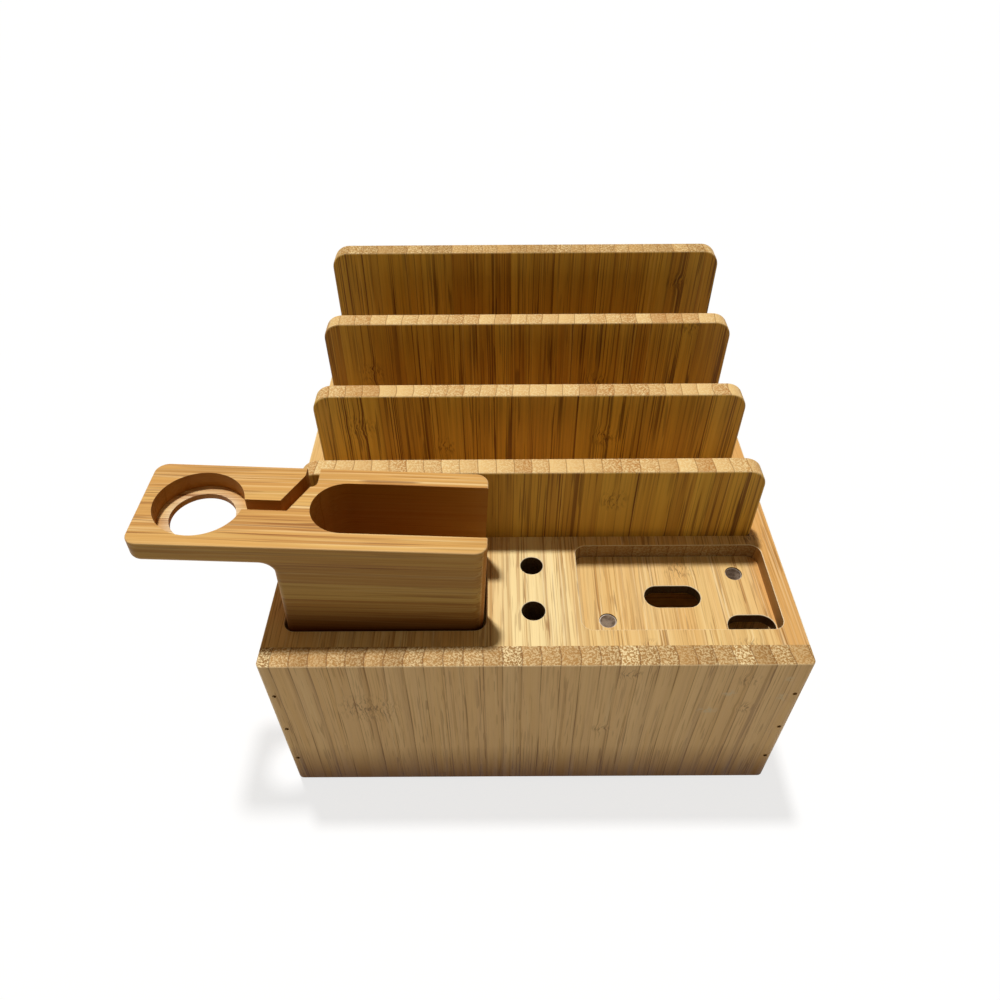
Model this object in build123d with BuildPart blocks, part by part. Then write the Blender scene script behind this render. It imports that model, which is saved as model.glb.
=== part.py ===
"""Charging station organizer in laminated bamboo.

A hollow box carries four upright dividers, two docks sunk in its top board and
a lift-off stand for a watch and an earbud case. A USB charger slides into the
box from behind. Millimetres, +Z up. The origin is the centre of the box's
footprint, on the surface that the box rests on.
"""

import os
from math import cos, radians, sin

from build123d import *

os.makedirs("parts", exist_ok=True)

# Docks sunk in the top board, and the wood left round and between them
dock_width = 79.0
dock_depth = 44.0
dock_sink = 7.3
dock_corner_radius = 4.5
dock_gap = 37.6
dock_side_margin = 7.2
dock_front_margin = 16.5

# Dividers, from the lowest in front to the tallest behind
divider_heights = [37.4, 44.7, 55.0, 69.3]
divider_thickness = 9.0
divider_pitch = 41.6
divider_end_margin = 10.0
divider_groove_depth = 5.0
divider_corner_radius = 8.0
divider_arris_radius = 0.9
first_divider_gap = 5.3
last_divider_margin = 12.4

# Box shell: the docks give its width, and the docks and dividers its depth
first_divider_offset = dock_front_margin + dock_depth + first_divider_gap
divider_run = (len(divider_heights) - 1) * divider_pitch + divider_thickness
box_width = 2 * (dock_side_margin + dock_width) + dock_gap
box_depth = first_divider_offset + divider_run + last_divider_margin
wall_height = 88.5
wall_thickness = 9.0
top_thickness = 12.0
base_thickness = 6.0
box_corner_radius = 2.5
arris_radius = 0.6
let_in_gap = 0.15
cut_overrun = 2.0

# Feet, let into the underside of the base
foot_radius = 7.0
foot_thickness = 2.5
foot_pocket_depth = 1.0
foot_inset = 40.0

# Corner blocks, short enough to leave the docks' corner slots open, and the base's screws
block_side = 16.0
block_height = 40.0
screw_shank_radius = 1.75
screw_head_radius = 3.5
screw_length = 18.0
screw_countersink_angle = 90.0
screw_gap = 0.08
screw_driver_slot_width = 0.9
screw_driver_slot_depth = 0.9

# Brad nails through the front and back panels into the side panels
nail_radius = 0.6
nail_head_radius = 0.85
nail_head_height = 0.7
nail_set_depth = 0.9
nail_length = 26.0
nail_gap = 0.06
nail_edge_inset = 3.2
nail_heights = [19.0, 43.5, 68.5]

# Opening in the back panel, where the charger and its lead go in
access_width = 130.0
access_height = 50.0
access_corner_radius = 8.0
access_sill_drop = 0.5

# Cable slots through the top board
slot_length = 23.3
slot_width = 11.3
rim_arris = 0.35
corner_slot_length = 19.2
corner_slot_end_gap = 0.5
corner_slot_side_gap = 0.95
lane_slot_shift = 47.5

# Disc magnets, one pair in each dock and one under the stand
magnet_radius = 3.5
magnet_thickness = 2.0
magnet_gap = 0.1
magnet_sink = 0.5
magnet_inset_x = 11.5
magnet_inset_y = 9.8

# Pen holes between the docks, a little in front of the docks' centre line
pen_hole_radius = 4.7
pen_hole_pitch = 23.6
pen_hole_shift = 0.8

# Stand: a block that drops into the left dock and an arm over the box's side.
# Its lower right edge rests on the dock's floor and its left end stands high by the lean.
stand_lean = 3.1
stand_side_gap = 1.3
stand_face_gap = 1.0
stand_arm_reach = 50.4
stand_height = 50.2
stand_arm_thickness = 9.4
stand_corner_radius = 5.0
stand_under_arm_radius = 5.0
stand_under_edge_radius = 2.4
stand_arris = 0.7
bud_channel_wall = 11.0
bud_channel_width = 25.8
bud_channel_depth = 34.0
bud_cable_length = 18.0
bud_cable_width = 8.0
watch_offset = 21.0
watch_seat_radius = 16.3
watch_seat_sink = 7.0
watch_hole_radius = 12.0
groove_width = 5.2
groove_bend_gap = 9.6
groove_end_reach = 5.0
notch_gap = 1.9
notch_reach = 10.6

# USB charger that lies on the base
charger_width = 92.0
charger_depth = 60.0
charger_height = 27.0
charger_lower_height = 14.0
charger_wall = 2.0
charger_corner_radius = 6.0
charger_edge_radius = 1.2
charger_back_space = 8.0
charger_foot_radius = 4.0
charger_foot_height = 1.2
charger_foot_inset = 10.0
port_count = 5
port_pitch = 15.0
port_width = 5.6
port_height = 13.2
port_length = 14.0
port_wall = 0.4
port_block_length = 4.0
port_tongue_thickness = 1.8
port_tongue_height = 10.6
port_tongue_length = 8.5
port_plate_margin = 4.0
circuit_board_thickness = 1.6
circuit_board_room = 1.0
standoff_radius = 2.4
standoff_inset = 9.0
transformer_width = 22.0
transformer_depth = 18.0
transformer_height = 12.5
transformer_edge_radius = 1.0
capacitor_radius = 5.0
capacitor_height = 12.5
capacitor_pitch = 12.0
component_inset = 22.0
inlet_width = 19.0
inlet_height = 11.0
inlet_length = 17.0
inlet_recess_depth = 13.0
inlet_recess_radius = 4.2
inlet_recess_pitch = 7.0
inlet_pin_radius = 1.2
inlet_pin_length = 14.0

# Levels and faces that follow from the sizes above
foot_proud = foot_thickness - foot_pocket_depth
wall_bottom = foot_proud
wall_top = wall_bottom + wall_height
board_bottom = wall_top - top_thickness
base_top = wall_bottom + base_thickness
side_height = board_bottom - wall_bottom
box_front = -box_depth / 2
box_back = box_depth / 2
inner_front = box_front + wall_thickness
inner_back = box_back - wall_thickness
inner_depth = inner_back - inner_front
inner_side = box_width / 2 - wall_thickness
dock_shift = (dock_gap + dock_width) / 2
dock_y = box_front + dock_front_margin + dock_depth / 2
dock_floor = wall_top - dock_sink
pen_y = dock_y - pen_hole_shift
corner_slot_shift_x = (dock_width - corner_slot_length) / 2 - corner_slot_end_gap
corner_slot_shift_y = (dock_depth - slot_width) / 2 - corner_slot_side_gap
divider_width = box_width - 2 * divider_end_margin
divider_fronts = [box_front + first_divider_offset + n * divider_pitch for n in range(len(divider_heights))]
lane_ys = [y + (divider_thickness + divider_pitch) / 2 for y in divider_fronts[:-1]]
magnet_shift_x = dock_width / 2 - magnet_inset_x
magnet_shift_y = dock_depth / 2 - magnet_inset_y
magnet_pocket_radius = magnet_radius + magnet_gap
magnet_pocket_depth = magnet_thickness + magnet_sink
nail_x = box_width / 2 - nail_edge_inset
nail_pilot_depth = nail_set_depth + nail_length - wall_thickness + nail_gap
screw_x = inner_side - block_side / 2
screw_y = inner_depth / 2 - block_side / 2


def mirrored_places(x, y):
    """The four places at plus or minus x and y."""
    return [(x, y), (-x, y), (-x, -y), (x, -y)]


def dock_magnet_places(x):
    """Two opposite corners of the dock or stand block whose centre is at x."""
    return [(x + magnet_shift_x, dock_y + magnet_shift_y), (x - magnet_shift_x, dock_y - magnet_shift_y)]


def outer_panel(face_y, outward):
    """Front or back panel: a plain board with its outer upright corners rounded."""
    with BuildPart() as panel:
        with BuildSketch(Plane.XY.offset(wall_bottom)):
            with Locations((0, face_y - outward * wall_thickness / 2)):
                Rectangle(box_width, wall_thickness)
        extrude(amount=wall_height)
        outer = panel.edges().filter_by(Axis.Z).sort_by(Axis.Y)
        corners = outer[-2:] if outward > 0 else outer[:2]
        fillet(corners, box_corner_radius)
        face = panel.faces().sort_by(Axis.Y)[-1 if outward > 0 else 0]
        fillet(face.edges().filter_by(Axis.X), arris_radius)
        nail_plane = Plane(origin=(0, face_y, wall_bottom), x_dir=(1, 0, 0), z_dir=(0, outward, 0))
        with Locations(nail_plane):
            with Locations(nail_places(outward)):
                CounterBoreHole(
                    nail_radius + nail_gap,
                    nail_head_radius + nail_gap,
                    nail_set_depth + nail_head_height,
                    wall_thickness,
                )
    return panel


def nail_places(outward):
    """Nail places on a panel's outer face, in a plane whose Y runs down behind and up in front."""
    rows = [-outward * height for height in nail_heights]
    return [(side * nail_x, row) for side in (-1, 1) for row in rows]


def panel_nails(face_y, outward):
    """Six brad nails, heads set below the panel's face."""
    with BuildPart() as nails:
        nail_plane = Plane(origin=(0, face_y, wall_bottom), x_dir=(1, 0, 0), z_dir=(0, outward, 0))
        head_plane = nail_plane.offset(-nail_set_depth)
        with BuildSketch(head_plane):
            with Locations(nail_places(outward)):
                Circle(nail_head_radius)
        extrude(amount=-nail_head_height)
        with BuildSketch(head_plane):
            with Locations(nail_places(outward)):
                Circle(nail_radius)
        extrude(amount=-nail_length)
    return nails


# Front panel
front_panel = outer_panel(box_front, -1)
front_panel.part.label = "front_panel"
export_step(front_panel.part, "parts/front_panel.step")

# Back panel with the access opening down to the base
with BuildPart() as back_panel:
    add(outer_panel(box_back, 1).part)
    opening_bottom = base_top - access_sill_drop
    with BuildSketch(Plane.XZ.offset(-box_back - cut_overrun)):
        with Locations((0, opening_bottom + access_height / 2)):
            RectangleRounded(access_width, access_height, access_corner_radius)
    extrude(amount=wall_thickness + 2 * cut_overrun, mode=Mode.SUBTRACT)
back_panel.part.label = "back_panel"
export_step(back_panel.part, "parts/back_panel.step")

# Nails
front_panel_nails = panel_nails(box_front, -1)
front_panel_nails.part.label = "front_panel_nails"
export_step(front_panel_nails.part, "parts/front_panel_nails.step")
back_panel_nails = panel_nails(box_back, 1)
back_panel_nails.part.label = "back_panel_nails"
export_step(back_panel_nails.part, "parts/back_panel_nails.step")

# Side panels between the front and back panels, under the top board
for side, side_name in ((-1, "left_side_panel"), (1, "right_side_panel")):
    with BuildPart() as side_panel:
        with BuildSketch(Plane.XY.offset(wall_bottom)):
            with Locations((side * (box_width - wall_thickness) / 2, 0)):
                Rectangle(wall_thickness, inner_depth)
        extrude(amount=side_height)
        for end_y, outward in ((inner_front, -1), (inner_back, 1)):
            with Locations(Plane(origin=(0, end_y, wall_bottom), x_dir=(1, 0, 0), z_dir=(0, outward, 0))):
                with Locations([place for place in nail_places(outward) if place[0] * side > 0]):
                    Hole(nail_radius + nail_gap, nail_pilot_depth)
    side_panel.part.label = side_name
    export_step(side_panel.part, f"parts/{side_name}.step")

# Top board: docks, slots, pen holes, divider grooves and magnet pockets
with BuildPart() as top_board:
    with BuildSketch(Plane.XY.offset(board_bottom)):
        Rectangle(box_width, inner_depth)
    extrude(amount=top_thickness)
    long_edges = top_board.faces().sort_by(Axis.Z)[-1].edges().filter_by(Axis.Y)
    fillet(long_edges, arris_radius)
    with BuildSketch(Plane.XY.offset(wall_top)):
        with Locations((-dock_shift, dock_y), (dock_shift, dock_y)):
            RectangleRounded(dock_width, dock_depth, dock_corner_radius)
    extrude(amount=-dock_sink, mode=Mode.SUBTRACT)
    with BuildSketch(Plane.XY.offset(dock_floor)):
        with Locations((-dock_shift, dock_y), (dock_shift, dock_y)):
            SlotOverall(slot_length, slot_width)
        with Locations(
            (dock_shift + corner_slot_shift_x, dock_y - corner_slot_shift_y),
            (-dock_shift - corner_slot_shift_x, dock_y + corner_slot_shift_y),
        ):
            SlotOverall(corner_slot_length, slot_width)
    extrude(amount=-top_thickness, mode=Mode.SUBTRACT)
    with BuildSketch(Plane.XY.offset(wall_top)):
        with Locations([(x, y) for y in lane_ys for x in (-lane_slot_shift, lane_slot_shift)]):
            SlotOverall(slot_length, slot_width)
        with Locations([(0, pen_y + end * pen_hole_pitch / 2) for end in (-1, 1)]):
            Circle(pen_hole_radius)
    extrude(amount=-top_thickness, mode=Mode.SUBTRACT)
    levels = top_board.faces().filter_by(Axis.Z).group_by(Axis.Z)
    board_rims = levels[-1][0].inner_wires().edges()
    floor_rims = [rim for floor in levels[-2] for rim in floor.inner_wires().edges()]
    fillet(board_rims + floor_rims, rim_arris)
    with BuildSketch(Plane.XY.offset(dock_floor)):
        with Locations(dock_magnet_places(-dock_shift) + dock_magnet_places(dock_shift)):
            Circle(magnet_pocket_radius)
    extrude(amount=-magnet_pocket_depth, mode=Mode.SUBTRACT)
    with BuildSketch(Plane.XY.offset(wall_top)):
        for divider_front in divider_fronts:
            with Locations((0, divider_front + divider_thickness / 2)):
                Rectangle(divider_width + 2 * let_in_gap, divider_thickness)
    extrude(amount=-divider_groove_depth, mode=Mode.SUBTRACT)
top_board.part.label = "top_board"
export_step(top_board.part, "parts/top_board.step")

# Dividers, each let into its groove
for number, (divider_front, height) in enumerate(zip(divider_fronts, divider_heights), start=1):
    with BuildPart() as divider:
        with BuildSketch(Plane.XZ.offset(-divider_front)) as outline:
            with Locations((0, wall_top + (height - divider_groove_depth) / 2)):
                Rectangle(divider_width, height + divider_groove_depth)
            fillet(outline.vertices().group_by(Axis.Z)[-1], divider_corner_radius)
        extrude(amount=-divider_thickness)
        rims = divider.faces().filter_by(Axis.Y).edges()
        fillet(rims.sort_by(Axis.Z)[2:], divider_arris_radius)
    divider.part.label = f"divider_{number}"
    export_step(divider.part, f"parts/divider_{number}.step")

# Base panel between the walls, with screw holes and foot pockets underneath
with BuildPart() as base_panel:
    with BuildSketch(Plane.XY.offset(wall_bottom)):
        Rectangle(2 * (inner_side - let_in_gap), inner_depth - 2 * let_in_gap)
    extrude(amount=base_thickness)
    with Locations(Plane(origin=(0, 0, wall_bottom), x_dir=(1, 0, 0), z_dir=(0, 0, -1))):
        with Locations(mirrored_places(screw_x, screw_y)):
            CounterSinkHole(
                screw_shank_radius + screw_gap,
                screw_head_radius + screw_gap,
                base_thickness,
                screw_countersink_angle,
            )
    with BuildSketch(Plane.XY.offset(wall_bottom)):
        with Locations(mirrored_places(box_width / 2 - foot_inset, box_depth / 2 - foot_inset)):
            Circle(foot_radius)
    extrude(amount=foot_pocket_depth, mode=Mode.SUBTRACT)
base_panel.part.label = "base_panel"
export_step(base_panel.part, "parts/base_panel.step")

# Rubber feet
with BuildPart() as rubber_feet:
    with BuildSketch(Plane.XY):
        with Locations(mirrored_places(box_width / 2 - foot_inset, box_depth / 2 - foot_inset)):
            Circle(foot_radius - let_in_gap)
    extrude(amount=foot_thickness)
rubber_feet.part.label = "rubber_feet"
export_step(rubber_feet.part, "parts/rubber_feet.step")

# Corner blocks, glued into the four inner corners
for block_number, (side, end) in enumerate(((-1, -1), (1, -1), (-1, 1), (1, 1)), start=1):
    with BuildPart() as corner_block:
        with BuildSketch(Plane.XY.offset(base_top)):
            with Locations((side * screw_x, end * screw_y)):
                Rectangle(block_side, block_side)
        extrude(amount=block_height)
        screw_place = (side * screw_x, end * screw_y, base_top)
        with Locations(Plane(origin=screw_place, x_dir=(1, 0, 0), z_dir=(0, 0, -1))):
            Hole(screw_shank_radius + screw_gap, screw_length)
    corner_block.part.label = f"corner_block_{block_number}"
    export_step(corner_block.part, f"parts/corner_block_{block_number}.step")

# Countersunk screws that hold the base
with BuildPart() as base_screws:
    for x, y in mirrored_places(screw_x, screw_y):
        with BuildSketch(Plane.XZ.offset(-y)):
            with BuildLine():
                head_height = screw_head_radius - screw_shank_radius
                Polyline(
                    (x, wall_bottom),
                    (x + screw_head_radius, wall_bottom),
                    (x + screw_shank_radius, wall_bottom + head_height),
                    (x + screw_shank_radius, wall_bottom + screw_length - screw_shank_radius),
                    (x, wall_bottom + screw_length),
                    close=True,
                )
            make_face()
        revolve(axis=Axis((x, y, 0), (0, 0, 1)))
    with BuildSketch(Plane.XY.offset(wall_bottom)):
        with Locations(mirrored_places(screw_x, screw_y)):
            Rectangle(2 * screw_shank_radius, screw_driver_slot_width)
            Rectangle(screw_driver_slot_width, 2 * screw_shank_radius)
    extrude(amount=screw_driver_slot_depth, mode=Mode.SUBTRACT)
base_screws.part.label = "base_screws"
export_step(base_screws.part, "parts/base_screws.step")

# Disc magnets in the docks
for side, dock_name in ((-1, "left_dock_magnets"), (1, "right_dock_magnets")):
    with BuildPart() as dock_magnets:
        with BuildSketch(Plane.XY.offset(dock_floor - magnet_pocket_depth)):
            with Locations(dock_magnet_places(side * dock_shift)):
                Circle(magnet_radius)
        extrude(amount=magnet_thickness)
        fillet(dock_magnets.edges().group_by(Axis.Z)[-1], magnet_gap)
    dock_magnets.part.label = dock_name
    export_step(dock_magnets.part, f"parts/{dock_name}.step")

# Stand planes: the seat lies on the underside, its origin halfway along the lower right edge
stand_block_width = dock_width - 2 * stand_side_gap
stand_depth = dock_depth - 2 * stand_face_gap
stand_length = stand_block_width + stand_arm_reach
bud_channel_length = stand_block_width - bud_channel_wall
stand_right = -dock_shift + stand_block_width / 2
stand_seat = Plane(
    origin=(stand_right, dock_y, dock_floor),
    x_dir=(cos(radians(stand_lean)), 0, -sin(radians(stand_lean))),
    z_dir=(sin(radians(stand_lean)), 0, cos(radians(stand_lean))),
)
stand_front_plane = Plane(
    origin=stand_seat.origin - stand_seat.y_dir * (stand_depth / 2),
    x_dir=stand_seat.x_dir,
    z_dir=-stand_seat.y_dir,
)
stand_up = Axis(stand_seat.origin, stand_seat.z_dir)
stand_along = Axis(stand_seat.origin, stand_seat.x_dir)
stand_across = Axis(stand_seat.origin, stand_seat.y_dir)
arm_underside = stand_height - stand_arm_thickness
block_centre = -stand_block_width / 2
watch_centre = -stand_length + watch_offset
groove_bend_offset = bud_channel_length + groove_bend_gap
notch_offset = bud_channel_length + notch_gap
notch_end = stand_depth / 2 - notch_reach + groove_width / 2
channel_end = -bud_channel_length + bud_channel_width / 2
stand_magnet_places = [
    (block_centre + magnet_shift_x, magnet_shift_y),
    (block_centre - magnet_shift_x, -magnet_shift_y),
]

# Stand body
with BuildPart() as stand_body:
    with BuildSketch(stand_front_plane):
        with BuildLine():
            Polyline(
                (0, 0),
                (0, stand_height),
                (-stand_length, stand_height),
                (-stand_length, arm_underside),
                (-stand_block_width, arm_underside),
                (-stand_block_width, 0),
                close=True,
            )
        make_face()
    extrude(amount=-stand_depth)
    under_arm_edge = stand_body.edges().filter_by(stand_across).group_by(stand_along)[1].sort_by(stand_up)[-1]
    fillet(under_arm_edge, stand_under_arm_radius)
    uprights = stand_body.edges().filter_by(stand_up).group_by(stand_along)
    fillet(uprights[0] + uprights[-1], stand_corner_radius)
    block_left_edges = stand_body.edges().filter_by(stand_up).group_by(stand_along)[2]
    fillet(block_left_edges, stand_under_edge_radius)
    fillet(stand_body.faces().sort_by(stand_up)[-1].edges(), stand_arris)
    fillet(stand_body.faces().sort_by(stand_up)[0].edges(), stand_arris)
    with BuildSketch(stand_seat.offset(stand_height)):
        with Locations((watch_centre, 0)):
            Circle(watch_seat_radius)
        with BuildLine():
            Polyline(
                (watch_centre, 0),
                (-groove_bend_offset, 0),
                (-notch_offset, stand_depth / 2 - groove_end_reach),
            )
        trace(line_width=groove_width)
        with Locations((-groove_bend_offset, 0), (-notch_offset, stand_depth / 2 - groove_end_reach)):
            Circle(groove_width / 2)
    extrude(amount=-watch_seat_sink, mode=Mode.SUBTRACT)
    with BuildSketch(stand_seat.offset(stand_height)):
        with Locations((watch_centre, 0)):
            Circle(watch_hole_radius)
        with Locations((-notch_offset, notch_end)):
            Circle(groove_width / 2)
            Rectangle(groove_width, notch_reach + cut_overrun, align=(Align.CENTER, Align.MIN))
    extrude(amount=-stand_height - cut_overrun, mode=Mode.SUBTRACT)
    with BuildSketch(stand_seat.offset(stand_height)):
        with Locations((channel_end, 0)):
            Circle(bud_channel_width / 2)
            Rectangle(bud_channel_length + cut_overrun, bud_channel_width, align=(Align.MIN, Align.CENTER))
    extrude(amount=-bud_channel_depth, mode=Mode.SUBTRACT)
    with BuildSketch(stand_seat):
        with Locations((block_centre, 0)):
            SlotOverall(bud_cable_length, bud_cable_width)
    extrude(amount=stand_height, mode=Mode.SUBTRACT)
    with BuildSketch(stand_seat):
        with Locations(stand_magnet_places):
            Circle(magnet_pocket_radius)
    extrude(amount=magnet_pocket_depth, mode=Mode.SUBTRACT)
stand_body.part.label = "stand_body"
export_step(stand_body.part, "parts/stand_body.step")

# Disc magnets under the stand
with BuildPart() as stand_magnets:
    with BuildSketch(stand_seat.offset(magnet_sink)):
        with Locations(stand_magnet_places):
            Circle(magnet_radius)
    extrude(amount=magnet_thickness)
stand_magnets.part.label = "stand_magnets"
export_step(stand_magnets.part, "parts/stand_magnets.step")

# Charger levels and places
charger_back = inner_back - charger_back_space
charger_front = charger_back - charger_depth
charger_y = charger_front + charger_depth / 2
charger_bottom = base_top + charger_foot_height
charger_parting = charger_bottom + charger_lower_height
port_level = charger_bottom + charger_height / 2
circuit_board_top = port_level - port_height / 2
circuit_board_bottom = circuit_board_top - circuit_board_thickness
circuit_board_inset = charger_wall + circuit_board_room
case_floor = charger_bottom + charger_wall
port_window_width = (port_count - 1) * port_pitch + port_width + 2 * port_plate_margin
port_window_height = port_height + 2 * port_plate_margin
port_xs = [(n - (port_count - 1) / 2) * port_pitch for n in range(port_count)]
standoff_places = mirrored_places(charger_width / 2 - standoff_inset, charger_depth / 2 - standoff_inset)
inlet_front = charger_back - inlet_length
inlet_recess_end = charger_back - inlet_recess_depth

# Charger case, hollow and whole, before it is split at its parting line
with BuildPart(mode=Mode.PRIVATE) as charger_case:
    with BuildSketch(Plane.XY.offset(charger_bottom)):
        with Locations((0, charger_y)):
            RectangleRounded(charger_width, charger_depth, charger_corner_radius)
    extrude(amount=charger_height)
    fillet(charger_case.faces().filter_by(Plane.XY).edges(), charger_edge_radius)
    with BuildSketch(Plane.XY.offset(case_floor)):
        with Locations((0, charger_y)):
            RectangleRounded(
                charger_width - 2 * charger_wall,
                charger_depth - 2 * charger_wall,
                charger_corner_radius - charger_wall,
            )
    extrude(amount=charger_height - 2 * charger_wall, mode=Mode.SUBTRACT)
    with BuildSketch(Plane.XZ.offset(-charger_front)):
        with Locations((0, port_level)):
            Rectangle(port_window_width, port_window_height)
    extrude(amount=-charger_wall, mode=Mode.SUBTRACT)
    with BuildSketch(Plane.XZ.offset(-charger_back)):
        with Locations((0, port_level)):
            Rectangle(inlet_width, inlet_height)
    extrude(amount=charger_wall, mode=Mode.SUBTRACT)

# Lower shell with posts for the circuit board
with BuildPart() as charger_lower_shell:
    add(charger_case.part)
    split(bisect_by=Plane.XY.offset(charger_parting), keep=Keep.BOTTOM)
    with BuildSketch(Plane.XY.offset(case_floor)):
        with Locations([(x, charger_y + y) for x, y in standoff_places]):
            Circle(standoff_radius)
    extrude(amount=circuit_board_bottom - case_floor)
charger_lower_shell.part.label = "charger_lower_shell"
export_step(charger_lower_shell.part, "parts/charger_lower_shell.step")

# Upper shell
with BuildPart() as charger_upper_shell:
    add(charger_case.part)
    split(bisect_by=Plane.XY.offset(charger_parting), keep=Keep.TOP)
charger_upper_shell.part.label = "charger_upper_shell"
export_step(charger_upper_shell.part, "parts/charger_upper_shell.step")

# Port plate
with BuildPart() as charger_port_plate:
    with BuildSketch(Plane.XZ.offset(-charger_front)):
        with Locations((0, port_level)):
            Rectangle(port_window_width - 2 * let_in_gap, port_window_height - 2 * let_in_gap)
        with Locations([(x, port_level) for x in port_xs]):
            Rectangle(port_width + let_in_gap, port_height + let_in_gap, mode=Mode.SUBTRACT)
    extrude(amount=-charger_wall)
charger_port_plate.part.label = "charger_port_plate"
export_step(charger_port_plate.part, "parts/charger_port_plate.step")

# Port shells, thin metal tubes that stand on the circuit board
with BuildPart() as usb_port_shells:
    with BuildSketch(Plane.XZ.offset(-charger_front)):
        with Locations([(x, port_level) for x in port_xs]):
            Rectangle(port_width, port_height)
            Rectangle(port_width - 2 * port_wall, port_height - 2 * port_wall, mode=Mode.SUBTRACT)
    extrude(amount=-port_length)
usb_port_shells.part.label = "usb_port_shells"
export_step(usb_port_shells.part, "parts/usb_port_shells.step")

# Port inserts: a block that closes each shell behind, with the contact tongue in front of it
with BuildPart() as usb_port_tongues:
    block_plane = Plane.XZ.offset(-charger_front - port_length)
    with BuildSketch(block_plane):
        with Locations([(x, port_level) for x in port_xs]):
            Rectangle(port_width - 2 * port_wall, port_height - 2 * port_wall)
    extrude(amount=port_block_length)
    tongue_shift = port_width / 2 - port_wall - port_tongue_thickness
    with BuildSketch(block_plane.offset(port_block_length)):
        with Locations([(x - tongue_shift, port_level) for x in port_xs]):
            Rectangle(port_tongue_thickness, port_tongue_height)
    extrude(amount=port_tongue_length)
usb_port_tongues.part.label = "usb_port_tongues"
export_step(usb_port_tongues.part, "parts/usb_port_tongues.step")

# Circuit board on the posts
with BuildPart() as charger_circuit_board:
    with BuildSketch(Plane.XY.offset(circuit_board_bottom)):
        with Locations((0, charger_y)):
            RectangleRounded(
                charger_width - 2 * circuit_board_inset,
                charger_depth - 2 * circuit_board_inset,
                charger_corner_radius - circuit_board_inset,
            )
    extrude(amount=circuit_board_thickness)
charger_circuit_board.part.label = "charger_circuit_board"
export_step(charger_circuit_board.part, "parts/charger_circuit_board.step")

# Transformer
component_x = charger_width / 2 - component_inset
component_y = charger_y + port_length / 2
with BuildPart() as charger_transformer:
    with BuildSketch(Plane.XY.offset(circuit_board_top)):
        with Locations((-component_x, component_y)):
            Rectangle(transformer_width, transformer_depth)
    extrude(amount=transformer_height)
    fillet(charger_transformer.edges().filter_by(Axis.Z), transformer_edge_radius)
    fillet(charger_transformer.faces().sort_by(Axis.Z)[-1].edges(), transformer_edge_radius / 2)
charger_transformer.part.label = "charger_transformer"
export_step(charger_transformer.part, "parts/charger_transformer.step")

# Capacitors
with BuildPart() as charger_capacitors:
    with BuildSketch(Plane.XY.offset(circuit_board_top)):
        with Locations([(component_x + end * capacitor_pitch / 2, component_y) for end in (-1, 1)]):
            Circle(capacitor_radius)
    extrude(amount=capacitor_height)
    fillet(charger_capacitors.faces().sort_by(Axis.Z)[-2:].edges(), charger_edge_radius)
charger_capacitors.part.label = "charger_capacitors"
export_step(charger_capacitors.part, "parts/charger_capacitors.step")

# Power inlet with its twin round recess
with BuildPart() as charger_inlet:
    with BuildSketch(Plane.XZ.offset(-charger_back)):
        with Locations((0, port_level)):
            Rectangle(inlet_width - 2 * let_in_gap, inlet_height - 2 * let_in_gap)
    extrude(amount=inlet_length)
    with BuildSketch(Plane.XZ.offset(-charger_back)):
        with Locations([(end * inlet_recess_pitch / 2, port_level) for end in (-1, 1)]):
            Circle(inlet_recess_radius)
    extrude(amount=inlet_recess_depth, mode=Mode.SUBTRACT)
    with BuildSketch(Plane.XZ.offset(-inlet_recess_end)):
        with Locations([(end * inlet_recess_pitch / 2, port_level) for end in (-1, 1)]):
            Circle(inlet_pin_radius + nail_gap)
    extrude(amount=inlet_length, mode=Mode.SUBTRACT)
charger_inlet.part.label = "charger_inlet"
export_step(charger_inlet.part, "parts/charger_inlet.step")

# Inlet pins
with BuildPart() as charger_inlet_pins:
    with BuildSketch(Plane.XZ.offset(-inlet_front)):
        with Locations([(end * inlet_recess_pitch / 2, port_level) for end in (-1, 1)]):
            Circle(inlet_pin_radius)
    extrude(amount=-inlet_pin_length)
    fillet(charger_inlet_pins.faces().sort_by(Axis.Y)[-2:].edges(), inlet_pin_radius / 2)
charger_inlet_pins.part.label = "charger_inlet_pins"
export_step(charger_inlet_pins.part, "parts/charger_inlet_pins.step")

# Feet under the charger
charger_foot_x = charger_width / 2 - charger_foot_inset
charger_foot_y = charger_depth / 2 - charger_foot_inset
with BuildPart() as charger_feet:
    with BuildSketch(Plane.XY.offset(base_top)):
        with Locations([(x, charger_y + y) for x, y in mirrored_places(charger_foot_x, charger_foot_y)]):
            Circle(charger_foot_radius)
    extrude(amount=charger_foot_height)
charger_feet.part.label = "charger_feet"
export_step(charger_feet.part, "parts/charger_feet.step")
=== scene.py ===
from math import cos, pi, radians, sin

import bpy
from mathutils import Matrix, Vector


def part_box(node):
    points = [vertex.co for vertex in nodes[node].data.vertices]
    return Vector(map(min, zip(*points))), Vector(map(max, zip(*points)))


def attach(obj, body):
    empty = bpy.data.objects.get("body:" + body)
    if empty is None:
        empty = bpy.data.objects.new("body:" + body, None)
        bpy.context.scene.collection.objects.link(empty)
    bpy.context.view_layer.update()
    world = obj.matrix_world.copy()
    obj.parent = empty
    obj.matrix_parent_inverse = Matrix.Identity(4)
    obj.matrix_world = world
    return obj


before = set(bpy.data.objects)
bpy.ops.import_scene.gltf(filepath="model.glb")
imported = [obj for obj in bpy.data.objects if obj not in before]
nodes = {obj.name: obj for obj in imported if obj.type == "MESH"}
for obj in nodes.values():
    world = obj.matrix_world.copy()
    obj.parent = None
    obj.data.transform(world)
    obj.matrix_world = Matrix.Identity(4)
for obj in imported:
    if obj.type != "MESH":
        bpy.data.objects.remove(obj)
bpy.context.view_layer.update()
print("frame loaded:", len(nodes), "nodes")


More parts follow.
